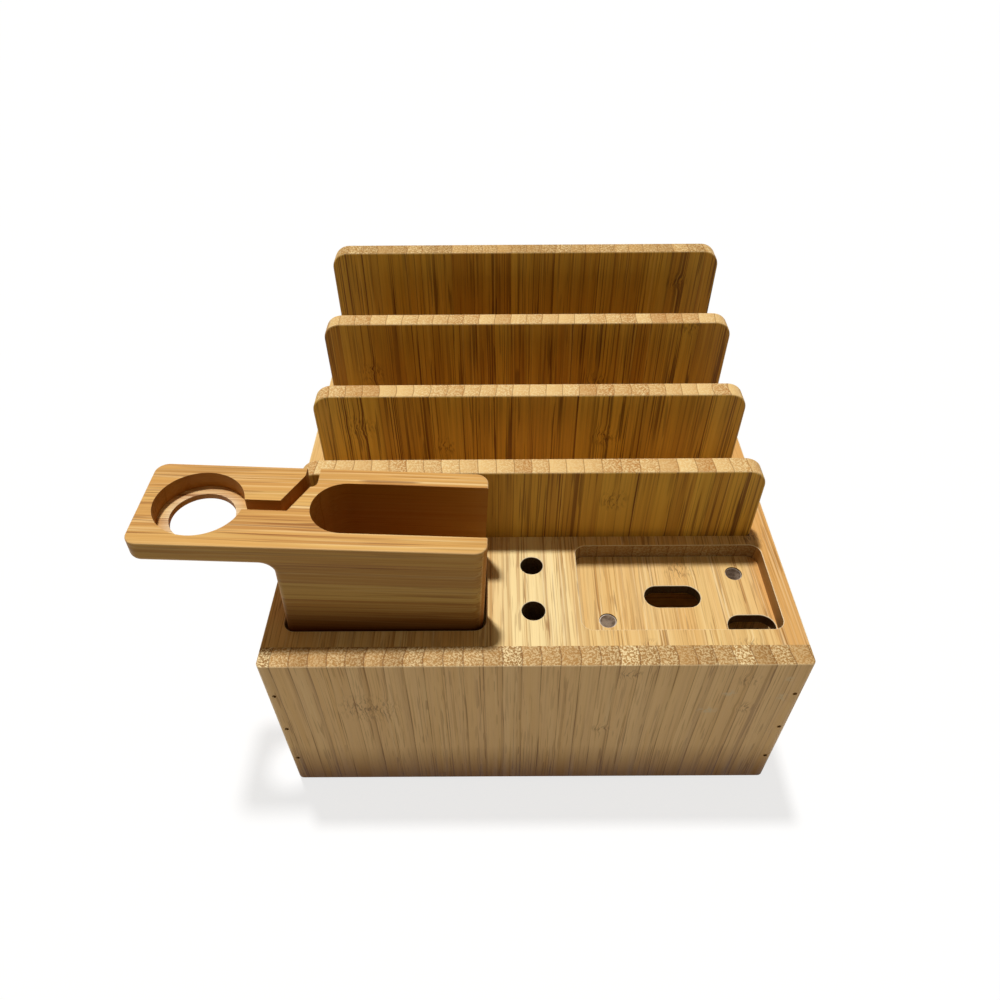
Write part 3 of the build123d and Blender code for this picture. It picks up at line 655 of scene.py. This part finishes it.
# A layer holds one divider, so that each has strips of its own
dividerLook = {
    "layerWidth": 41.6, "layerStart": 45.0, "rimWays": (0, 1, 0), "rimShare": 0.10,
    # The darker tints of the third and fourth dividers are painted shade, which deepens towards the back
    "layerTints": ((0, "CEA044", 0.45), (1, "F0C458", 0.30), (2, "A87020", 0.30), (3, "B07820", 0.22)),
    "face": ("B8842A", "DCAC3C", "EEC450"), "toneSpread": 0.8,
    "warm": "B67C24", "warmShare": 0.4, "cup": "7E500C", "glue": "5A3610",
    "threads": (
        (3.2, 160.0, (0.48, 0.75), "96641C", 0.55),
        (1.4, 110.0, (0.57, 0.70), "EABC58", 0.50),
        (0.75, 110.0, (0.56, 0.62), "6A3E0A", 0.85),
        (0.7, 30.0, (0.61, 0.67), "522E06", 0.70),
    ),
    "joints": ((34, 112, 7, 7), (-38, 106, 6, 7), (-75, 118, 8, 8), (76, 143, 7, 6)),
    "jointDash": "4A2A0A",
    "endDot": "F6DCA2", "endDotSize": 0.75, "endGlue": "96652C", "endSpread": (0.75, 0.35),
}
frontDividerLook = dividerLook | {"seed": 9.0, "end": ("BE8644", "F0C884")}
# The rear divider's ends are a copy in painted shade, darker than the front ones
rearDividerLook = dividerLook | {"seed": 13.0, "end": ("A0702C", "CE9E58")}
# The stand leans in its dock, so its place is where it turns
standLook = {
    "axes": "YZX", "place": (-20.1, -67.5, 82.7), "lean": 3.1,
    "layerWidth": 9.4, "layerStart": -3.4, "seed": 11.0,
    # The two lowest layers are darker: partly the plies' own tone, partly painted shade down in the dock
    "layerTints": ((0, "9E6424", 0.5), (1, "A87032", 0.35), (2, "FAD888", 0.40), (3, "C29A66", 0.25)),
    "face": ("CA944C", "E6B262", "F5CE7E"), "toneSpread": 0.4, "warm": "D49650", "glueShare": 0.25,
    "threads": (
        (2.4, 160.0, (0.48, 0.72), "C88C44", 0.50),
        (1.0, 90.0, (0.56, 0.66), "FADA9C", 0.70),
        (0.9, 90.0, (0.55, 0.63), "AC6C2E", 0.62),
        (0.7, 40.0, (0.60, 0.67), "8A4E18", 0.70),
    ),
    "crowdSize": (4.0, 160.0),
    "tints": (((0, -105.8, 16.6, 16.6), "FCEFD2", 0.80),),  # painted light on the ledge of the watch seat
    # Front and back darker: partly the edge grain's own tone, partly painted shade
    "end": ("A87436", "CF9850"), "endDot": "DDB070", "sideShade": "C4C0AE", "rimShare": 0.12,
    # Painted shade on the walls of the watch seat and the earbud channel
    "recessShadeBox": ((-124, -19.4), (4, 19.4)), "recessShadeShare": 0.75, "recessShade": "A8680A",
    # painted shade on the stand's lower part, down in its dock
    "low": "906408", "lowRange": (20.0, 4.0),
}
basePanelLook = {"axes": "YZX", "stripWidth": 20.0, "seed": 3.0}

for name, look, pieces in (
    ("bamboo, oiled, strips front to back", topBoardLook, ("top_board",)),
    ("bamboo, oiled, upright strips", panelLook, ("front_panel", "back_panel")),
    ("bamboo, oiled, side panels", sidePanelLook, ("left_side_panel", "right_side_panel")),
    ("bamboo, carbonised and oiled", frontDividerLook, ("divider_1", "divider_2", "divider_3")),
    ("bamboo, carbonised and oiled, ends in painted shade", rearDividerLook, ("divider_4",)),
    ("bamboo, carbonised, strips along the arm", standLook, ("stand_body",)),
    ("bamboo board, sanded", basePanelLook, ("base_panel",)),
):
    dress(makeBamboo(name, look), *pieces)
print("bamboo dressed")


# Object coordinates in millimetres
def addMillimetres(tree):
    coordinates = addNode(tree, "ShaderNodeTexCoord")
    return addNode(tree, "ShaderNodeVectorMath", {
        0: coordinates.outputs["Object"], 1: (1000, 1000, 1000),
    }, operation="MULTIPLY")


# How far the surface faces up: 1 on top, 0 on walls, -1 underneath
def addUpward(tree):
    coordinates = addNode(tree, "ShaderNodeTexCoord")
    return addNode(tree, "ShaderNodeVectorMath", {
        0: coordinates.outputs["Normal"], 1: (0, 0, 1),
    }, operation="DOT_PRODUCT")


# Where a noise starts to show in colour or roughness, and where it shows whole
wearRange = {"metal": (0.35, 0.65), "plastic": (0.45, 0.75), "roughness": (0.3, 0.7)}


# Colour and roughness of a surface that handling has changed in soft clouds
def addClouding(tree, clouds, s, kind):
    start, full = wearRange[kind]
    share = addNode(tree, "ShaderNodeMapRange", {"Value": clouds, "From Min": start, "From Max": full})
    colour = addNode(tree, "ShaderNodeMix", {
        0: share, 6: linearColour(s["colour"]), 7: linearColour(s["worn"]),
    }, data_type="RGBA")
    start, full = wearRange["roughness"]
    rough = addNode(tree, "ShaderNodeMapRange", {
        "Value": clouds, "From Min": start, "From Max": full,
        "To Min": s["roughness"][0], "To Max": s["roughness"][1],
    })
    return colour, rough


# Middle of each of the two separate discs of a node, in millimetres
def discMiddles(node):
    low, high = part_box(node)
    half = (low.x + high.x) / 2
    points = [vertex.co for vertex in nodes[node].data.vertices]
    middles = []
    for disc in ([p for p in points if p.x < half], [p for p in points if p.x >= half]):
        xs, ys = [p.x for p in disc], [p.y for p in disc]
        middles.append((500 * (min(xs) + max(xs)), 500 * (min(ys) + max(ys))))
    return middles


# Nickel, electroplated and handled: a warm grey mirror gone dull, with a painted highlight round the rim
magnetNickel = {
    "colour": "8A7866",
    "worn": "4E4034",
    "clouding": 2.2,            # size of the dull patches
    # painted highlight round the rim
    "rimColour": "CFC2B2",
    "rimRange": (3.05, 3.35),   # out from the disc's middle
    "roughness": (0.22, 0.42),
    "nodes": ("left_dock_magnets", "right_dock_magnets", "stand_magnets"),
}


def makeMagnetNickel(name, node, s):
    material, tree = newMaterial(name)
    place = addMillimetres(tree)
    clouds = addNode(tree, "ShaderNodeTexNoise", {
        "Vector": place, "Scale": 1 / s["clouding"], "Detail": 3.0,
    })
    colour, rough = addClouding(tree, clouds, s, "metal")
    nearest = 1000.0
    for x, y in discMiddles(node):
        away = addNode(tree, "ShaderNodeVectorMath", {
            0: place, 1: (1, 1, 0), 2: (-x, -y, 0),
        }, operation="MULTIPLY_ADD")
        away = addNode(tree, "ShaderNodeVectorMath", {0: away}, operation="LENGTH")
        nearest = addNode(tree, "ShaderNodeMath", {0: away, 1: nearest}, operation="MINIMUM")
    # A painted highlight round each disc's rim
    start, full = s["rimRange"]
    rim = addNode(tree, "ShaderNodeMapRange", {"Value": nearest, "From Min": start, "From Max": full})
    colour = addNode(tree, "ShaderNodeMix", {
        0: rim, 6: colour, 7: linearColour(s["rimColour"]),
    }, data_type="RGBA")
    finishMaterial(tree, {"Base Color": colour, "Metallic": 1.0, "Roughness": rough})
    return material


for node in magnetNickel["nodes"]:
    dress(makeMagnetNickel("nickel, plated and handled, " + node.split("_")[0], node, magnetNickel), node)

# Small metal parts. Drawn and stamped metal shows fine lines along one way, plating shows soft clouds.
# grain is the size of these marks in X, Y and Z.
metals = {
    "steel, drawn and oxidised": {
        "colour": "4A3F35", "worn": "2B241E", "grain": (0.5, 0.5, 2.0), "roughness": (0.45, 0.65),
        "nodes": ("front_panel_nails", "back_panel_nails"),
    },
    "steel, zinc plated": {
        "colour": "C6C8C6", "worn": "9A9C98", "grain": (0.9, 0.9, 0.9), "roughness": (0.25, 0.45),
        "nodes": ("base_screws",),
    },
    "steel, stamped and nickel plated": {
        "colour": "CFCBC4", "worn": "A8A39A", "grain": (0.35, 6.0, 0.35), "roughness": (0.18, 0.35),
        "nodes": ("usb_port_shells",),
    },
    "brass, turned and nickel plated": {
        "colour": "D2C8AC", "worn": "AFA280", "grain": (0.3, 0.3, 4.0), "roughness": (0.18, 0.32),
        "nodes": ("charger_inlet_pins",),
    },
}
metalRelief = {"strength": 0.2, "depth": 0.00005}


def makeMetal(name, s):
    material, tree = newMaterial(name)
    stretched = addNode(tree, "ShaderNodeVectorMath", {
        0: addMillimetres(tree), 1: [1 / size for size in s["grain"]],
    }, operation="MULTIPLY")
    grain = addNode(tree, "ShaderNodeTexNoise", {"Vector": stretched, "Scale": 1.0, "Detail": 2.0})
    colour, rough = addClouding(tree, grain, s, "metal")
    bump = addNode(tree, "ShaderNodeBump", {
        "Height": grain, "Strength": metalRelief["strength"], "Distance": metalRelief["depth"],
    })
    finishMaterial(tree, {"Base Color": colour, "Metallic": 1.0, "Roughness": rough, "Normal": bump})
    return material


for name, settings in metals.items():
    dress(makeMetal(name, settings), *settings["nodes"])
print("metal dressed")

# Moulded plastics and rubber. A spark-eroded mould leaves a fine even grain, a polished one almost none.
plastics = {
    "ABS, moulded with a satin grain": {
        "colour": "2B2C2F", "worn": "323336", "grain": 0.7, "depth": 0.00006, "roughness": (0.42, 0.55),
        "specular": 0.5, "nodes": ("charger_lower_shell", "charger_upper_shell"),
    },
    "ABS, moulded glossy": {
        "colour": "17181A", "worn": "232427", "grain": 2.5, "depth": 0.00001, "roughness": (0.12, 0.22),
        "specular": 0.5, "nodes": ("charger_port_plate",),
    },
    "nylon, moulded white": {
        "colour": "E4E0D6", "worn": "D2CCBE", "grain": 1.2, "depth": 0.00002, "roughness": (0.35, 0.5),
        "specular": 0.5, "nodes": ("usb_port_tongues",),
    },
    "nylon, moulded black": {
        "colour": "1D1D1F", "worn": "2C2C2F", "grain": 0.9, "depth": 0.00004, "roughness": (0.38, 0.52),
        "specular": 0.5, "nodes": ("charger_inlet",),
    },
    "rubber, moulded matt": {
        "colour": "2D2C2B", "worn": "454341", "grain": 1.1, "depth": 0.00008, "roughness": (0.70, 0.88),
        "specular": 0.3, "nodes": ("rubber_feet", "charger_feet"),
    },
}
plasticWear = {"rubbedSize": 14.0, "reliefStrength": 0.6}  # patches that hands have rubbed


def makePlastic(name, s):
    material, tree = newMaterial(name)
    place = addMillimetres(tree)
    grain = addNode(tree, "ShaderNodeTexNoise", {
        "Vector": place, "Scale": 1 / s["grain"], "Detail": 3.0,
    })
    rubbed = addNode(tree, "ShaderNodeTexNoise", {
        "Vector": place, "Scale": 1 / plasticWear["rubbedSize"], "Detail": 4.0,
    })
    colour, rough = addClouding(tree, rubbed, s, "plastic")
    bump = addNode(tree, "ShaderNodeBump", {
        "Height": grain, "Strength": plasticWear["reliefStrength"], "Distance": s["depth"],
    })
    finishMaterial(tree, {
        "Base Color": colour, "Roughness": rough, "Normal": bump, "Specular IOR Level": s["specular"],
    })
    return material


plasticMade = {}
for name, settings in plastics.items():
    plasticMade[name] = makePlastic(name, settings)
    dress(plasticMade[name], *settings["nodes"])
print("plastic and rubber dressed")

# Grip ribs, moulded on both long sides of the charger towards its back, to pull it out by
gripRibs = {
    "count": 9,
    "pitch": 0.0026,
    "fromBack": 0.0105,
    "size": (0.0018, 0.0014, 0.0085),  # through the wall, along it, and high
    "segments": 20,
    "rings": 14,
    "material": "ABS, moulded with a satin grain",
}


# One row of ribs on each side; every rib is a long rounded grain, half sunk in the wall
def makeRibTree(name, material, s):
    tree = bpy.data.node_groups.new(name, "GeometryNodeTree")
    for socket, kind in (
        ("Count", "NodeSocketInt"), ("Step", "NodeSocketVector"), ("Size", "NodeSocketVector"),
        ("Left Start", "NodeSocketVector"), ("Right Start", "NodeSocketVector"),
    ):
        tree.interface.new_socket(name=socket, in_out="INPUT", socket_type=kind)
    tree.interface.new_socket(name="Ribs", in_out="OUTPUT", socket_type="NodeSocketGeometry")
    given = addNode(tree, "NodeGroupInput")
    grain = addNode(tree, "GeometryNodeMeshUVSphere", {
        "Segments": s["segments"], "Rings": s["rings"], "Radius": 0.5,
    })
    rows = addNode(tree, "GeometryNodeJoinGeometry")
    for side in ("Left Start", "Right Start"):
        row = addNode(tree, "GeometryNodeMeshLine", {
            "Count": given.outputs["Count"], "Start Location": given.outputs[side],
            "Offset": given.outputs["Step"],
        }, mode="OFFSET")
        tree.links.new(row.outputs["Mesh"], rows.inputs[0])
    placed = addNode(tree, "GeometryNodeInstanceOnPoints", {
        "Points": rows, "Instance": grain.outputs["Mesh"], "Scale": given.outputs["Size"],
    })
    real = addNode(tree, "GeometryNodeRealizeInstances", {"Geometry": placed})
    smooth = addNode(tree, "GeometryNodeSetShadeSmooth", {"Geometry": real})
    finished = addNode(tree, "GeometryNodeSetMaterial", {"Geometry": smooth, "Material": material})
    addNode(tree, "NodeGroupOutput", {"Ribs": finished})
    return tree


def makeGripRibs(s):
    low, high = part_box("charger_upper_shell")
    start = high.y - s["fromBack"] - (s["count"] - 1) * s["pitch"]
    level = (low.z + high.z) / 2
    values = {
        "Count": s["count"], "Step": (0, s["pitch"], 0), "Size": s["size"],
        "Left Start": (low.x, start, level), "Right Start": (high.x, start, level),
    }
    tree = makeRibTree("grip ribs", plasticMade[s["material"]], s)
    holder = bpy.data.objects.new("rib maker", bpy.data.meshes.new("rib maker"))
    bpy.context.scene.collection.objects.link(holder)
    modifier = holder.modifiers.new("ribs", "NODES")
    modifier.node_group = tree
    for item in tree.interface.items_tree:
        if item.name in values:
            modifier[item.identifier] = values[item.name]
    made = holder.evaluated_get(bpy.context.evaluated_depsgraph_get())
    ribs = bpy.data.objects.new("charger_grip_ribs", bpy.data.meshes.new_from_object(made))
    bpy.data.objects.remove(holder)
    bpy.context.scene.collection.objects.link(ribs)
    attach(ribs, "charger")


makeGripRibs(gripRibs)
print("grip ribs made")

# Pine, sawn and left rough: broad yearly rings, saw marks across them
sawnPine = {
    "early": "E3C48F",
    "late": "B98950",
    "ringWidth": 3.4,
    "ringPower": 2.5,           # a ring's late wood is a thin dark line at its end
    "bend": 6.0,
    "bendSize": 45.0,
    "fibre": (0.5, 12.0),       # width and length
    "fibreShare": 0.5,
    "sawPitch": 1.6,
    "reliefStrength": 0.5,
    "reliefDepth": 0.0002,
    "roughness": 0.78,
    "nodes": ("corner_block_1", "corner_block_2", "corner_block_3", "corner_block_4"),
}


def makeSawnPine(name, s):
    material, tree = newMaterial(name)
    place = addMillimetres(tree)
    parts = addNode(tree, "ShaderNodeSeparateXYZ", {0: place})
    slow = addNode(tree, "ShaderNodeTexNoise", {"Vector": place, "Scale": 1 / s["bendSize"], "Detail": 1.0})
    ringPlace = addNode(tree, "ShaderNodeMath", {
        0: slow, 1: s["bend"], 2: parts.outputs["Y"],
    }, operation="MULTIPLY_ADD")
    ringCount = addNode(tree, "ShaderNodeMath", {0: ringPlace, 1: s["ringWidth"]}, operation="DIVIDE")
    ring = addNode(tree, "ShaderNodeMath", {0: ringCount}, operation="FRACT")
    ring = addNode(tree, "ShaderNodeMath", {0: ring, 1: s["ringPower"]}, operation="POWER")
    width, length = s["fibre"]
    stretched = addNode(tree, "ShaderNodeVectorMath", {
        0: place, 1: (1 / width, 1 / width, 1 / length),
    }, operation="MULTIPLY")
    fibre = addNode(tree, "ShaderNodeTexNoise", {"Vector": stretched, "Scale": 1.0, "Detail": 2.0})
    share = addNode(tree, "ShaderNodeMath", {
        0: fibre, 1: s["fibreShare"], 2: ring,
    }, operation="MULTIPLY_ADD")
    colour = addNode(tree, "ShaderNodeMix", {
        0: share, 6: linearColour(s["early"]), 7: linearColour(s["late"]),
    }, data_type="RGBA")
    saw = addNode(tree, "ShaderNodeMath", {
        0: parts.outputs["Z"], 1: s["sawPitch"],
    }, operation="DIVIDE")
    saw = addNode(tree, "ShaderNodeMath", {0: saw, 1: 0.5}, operation="PINGPONG")
    relief = addNode(tree, "ShaderNodeMath", {0: saw, 1: fibre}, operation="ADD")
    bump = addNode(tree, "ShaderNodeBump", {
        "Height": relief, "Strength": s["reliefStrength"], "Distance": s["reliefDepth"],
    })
    finishMaterial(tree, {"Base Color": colour, "Roughness": s["roughness"], "Normal": bump})
    return material


dress(makeSawnPine("pine, sawn", sawnPine), *sawnPine["nodes"])
print("pine dressed")

# Circuit board: glass-fibre laminate under green solder mask, with copper runs that show through it
boardFinish = {
    "mask": "1E5A38",
    "overCopper": "2F7B4C",
    "edge": "B7A875",
    "runPitch": 2.6,
    "runLength": 9.0,
    "runWidth": 0.45,
    "reliefStrength": 0.4,
    "reliefDepth": 0.00004,
    "roughness": 0.30,
}


def makeBoard(name, s):
    material, tree = newMaterial(name)
    runs = addNode(tree, "ShaderNodeTexBrick", {
        "Vector": addMillimetres(tree), "Scale": 1.0, "Mortar Size": s["runWidth"],
        "Brick Width": s["runLength"], "Row Height": s["runPitch"],
    }).outputs["Fac"]
    colour = addNode(tree, "ShaderNodeMix", {
        0: runs, 6: linearColour(s["mask"]), 7: linearColour(s["overCopper"]),
    }, data_type="RGBA")
    level = addNode(tree, "ShaderNodeMath", {0: addUpward(tree)}, operation="ABSOLUTE")
    cutEdge = addNode(tree, "ShaderNodeMath", {0: level, 1: 0.5}, operation="LESS_THAN")
    colour = addNode(tree, "ShaderNodeMix", {
        0: cutEdge, 6: colour, 7: linearColour(s["edge"]),
    }, data_type="RGBA")
    bump = addNode(tree, "ShaderNodeBump", {
        "Height": runs, "Strength": s["reliefStrength"], "Distance": s["reliefDepth"],
    })
    finishMaterial(tree, {"Base Color": colour, "Roughness": s["roughness"], "Normal": bump})
    return material


# Ferrite core, pressed and fired, with yellow polyester tape wound round its middle
transformerFinish = {
    "tape": "D8A72C",
    "tapeEdge": "B8861C",
    "tapeShare": 0.62,          # of the core's length
    "tapePitch": 3.0,
    "tapeRoughness": 0.32,
    "ferrite": "34322F",
    "ferriteSpeck": "4A4744",
    "speckSize": 0.8,
    "ferriteRoughness": 0.7,
    "reliefStrength": 0.5,
    "reliefDepth": 0.0001,
}


def makeTransformer(name, node, s):
    material, tree = newMaterial(name)
    place = addMillimetres(tree)
    low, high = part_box(node)
    middle = [500 * (a + b) for a, b in zip(low, high)]
    half = 500 * (high.x - low.x) * s["tapeShare"]
    away = addNode(tree, "ShaderNodeVectorMath", {0: place, 1: middle}, operation="SUBTRACT")
    along = addNode(tree, "ShaderNodeSeparateXYZ", {0: away}).outputs["X"]
    fromMiddle = addNode(tree, "ShaderNodeMath", {0: along}, operation="ABSOLUTE")
    taped = addNode(tree, "ShaderNodeMath", {0: fromMiddle, 1: half}, operation="LESS_THAN")
    turns = addNode(tree, "ShaderNodeMath", {0: along, 1: s["tapePitch"]}, operation="DIVIDE")
    turns = addNode(tree, "ShaderNodeMath", {0: turns}, operation="FRACT")
    tape = addNode(tree, "ShaderNodeMix", {
        0: turns, 6: linearColour(s["tape"]), 7: linearColour(s["tapeEdge"]),
    }, data_type="RGBA")
    specks = addNode(tree, "ShaderNodeTexNoise", {
        "Vector": place, "Scale": 1 / s["speckSize"], "Detail": 2.0,
    })
    ferrite = addNode(tree, "ShaderNodeMix", {
        0: specks, 6: linearColour(s["ferrite"]), 7: linearColour(s["ferriteSpeck"]),
    }, data_type="RGBA")
    colour = addNode(tree, "ShaderNodeMix", {0: taped, 6: ferrite, 7: tape}, data_type="RGBA")
    rough = addNode(tree, "ShaderNodeMapRange", {
        "Value": taped, "To Min": s["ferriteRoughness"], "To Max": s["tapeRoughness"],
    })
    relief = addNode(tree, "ShaderNodeMath", {0: turns, 1: specks}, operation="ADD")
    bump = addNode(tree, "ShaderNodeBump", {
        "Height": relief, "Strength": s["reliefStrength"], "Distance": s["reliefDepth"],
    })
    finishMaterial(tree, {"Base Color": colour, "Roughness": rough, "Normal": bump})
    return material


# Aluminium cans in shrunk PVC sleeves: dark sleeve, bare pressed top
capacitorFinish = {
    "sleeve": "22324A",
    "sleeveWorn": "2E4260",
    "top": "C4C6C8",
    "topFrom": 0.8,             # how far a face looks up before it is the top
    "clouding": 1.5,
    "roughness": (0.22, 0.40),
}


def makeCapacitors(name, s):
    material, tree = newMaterial(name)
    bare = addNode(tree, "ShaderNodeMath", {0: addUpward(tree), 1: s["topFrom"]}, operation="GREATER_THAN")
    clouds = addNode(tree, "ShaderNodeTexNoise", {
        "Vector": addMillimetres(tree), "Scale": 1 / s["clouding"], "Detail": 2.0,
    })
    sleeve = addNode(tree, "ShaderNodeMix", {
        0: clouds, 6: linearColour(s["sleeve"]), 7: linearColour(s["sleeveWorn"]),
    }, data_type="RGBA")
    colour = addNode(tree, "ShaderNodeMix", {
        0: bare, 6: sleeve, 7: linearColour(s["top"]),
    }, data_type="RGBA")
    rough = addNode(tree, "ShaderNodeMapRange", {
        "Value": clouds, "To Min": s["roughness"][0], "To Max": s["roughness"][1],
    })
    finishMaterial(tree, {"Base Color": colour, "Metallic": bare, "Roughness": rough})
    return material


transformer = makeTransformer("ferrite and polyester tape", "charger_transformer", transformerFinish)
dress(makeBoard("laminate, solder masked", boardFinish), "charger_circuit_board")
dress(transformer, "charger_transformer")
dress(makeCapacitors("aluminium, sleeved in PVC", capacitorFinish), "charger_capacitors")
print("charger's inside dressed")

bpy.context.scene.view_settings.view_transform = "Standard"
